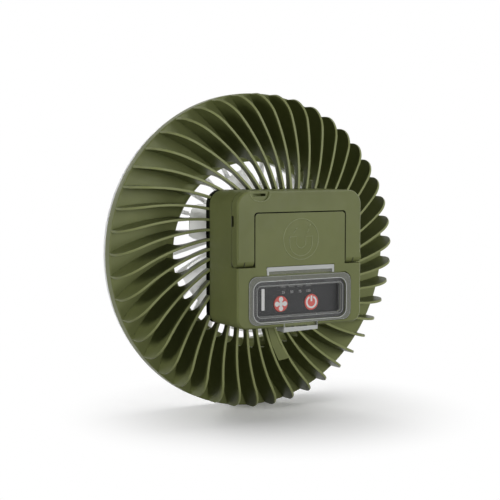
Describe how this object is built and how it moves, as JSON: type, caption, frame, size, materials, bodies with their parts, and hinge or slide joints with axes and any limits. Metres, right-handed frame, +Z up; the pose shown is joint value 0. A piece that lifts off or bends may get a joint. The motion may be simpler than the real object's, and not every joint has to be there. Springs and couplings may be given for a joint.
{
  "type": "rechargeable fan",
  "caption": "Round tabletop camping fan with a swirl-fin rear grille, front ring light, square rear battery box, fold-out hanging bail, back magnet and buttons under a clear flip cover.",
  "frame": {"origin": "middle of the bounding box's base: the lowest point of the round rim stands on z = 0", "axes": "+Z up, +Y from the front guard to the control box at the back, +X to the left as seen from behind"},
  "size_m": [0.19, 0.067, 0.19],
  "materials": {
    "olive_plastic": "fine satin texture",
    "white_plastic": "satin",
    "clear_plastic": "clear polished plastic",
    "seal_rubber": "matte",
    "panel_plastic": "fine satin",
    "button_plastic": "satin",
    "lamp_plastic": "frosted",
    "board_laminate": "lacquered",
    "black_plastic": "satin",
    "steel": "plated",
    "magnet_steel": "plated",
    "sintered_bronze": "matte",
    "copper": "enamelled wire",
    "cell_steel": "shrink sleeve"
  },
  "bodies": {
    "housing": {"rear_grille": "olive_plastic", "wire_cover": "olive_plastic", "front_cover": "white_plastic", "light_board": "board_laminate", "light_chips": "lamp_plastic", "motor_base": "black_plastic", "motor_bush": "sintered_bronze", "motor_stator": "steel", "stator_coils": "copper", "box_screws": "steel", "rear_box": "olive_plastic", "back_magnet": "magnet_steel", "magnet_keeper": "steel", "cover_pin": "steel", "cover_gasket": "seal_rubber", "control_panel": "panel_plastic", "button_switches": "black_plastic", "indicator_lights": "lamp_plastic", "control_board": "board_laminate", "charging_socket": "steel", "battery_pack": "cell_steel", "battery_tray": "black_plastic"},
    "fan": {"impeller": "white_plastic", "impeller_nut": "steel", "motor_shaft": "steel", "rotor_magnets": "magnet_steel"},
    "bail": {"bail": "olive_plastic"},
    "cover": {"clear_cover": "clear_plastic"},
    "fan_button": {"fan_button": "button_plastic"},
    "power_button": {"power_button": "button_plastic"}
  },
  "joints": [
    {"name": "fan_spin", "type": "hinge", "parent": "housing", "child": "fan", "pos_m": [0, -0.01575, 0.095], "axis": [0, 1, 0], "continuous": true},
    {"name": "bail_fold", "type": "hinge", "parent": "housing", "child": "bail", "pos_m": [0, 0.0302, 0.0936], "axis": [-1, 0, 0], "range_deg": [0, 90]},
    {"name": "cover_flip", "type": "hinge", "parent": "housing", "child": "cover", "pos_m": [0, 0.0321, 0.0884], "axis": [1, 0, 0], "range_deg": [0, 90]},
    {"name": "fan_button_press", "type": "slide", "parent": "housing", "child": "fan_button", "axis": [0, -1, 0], "range_m": [0, 0.0006], "stiffness_N_per_m": 800},
    {"name": "power_button_press", "type": "slide", "parent": "housing", "child": "power_button", "axis": [0, -1, 0], "range_m": [0, 0.0006], "stiffness_N_per_m": 800}
  ]
}
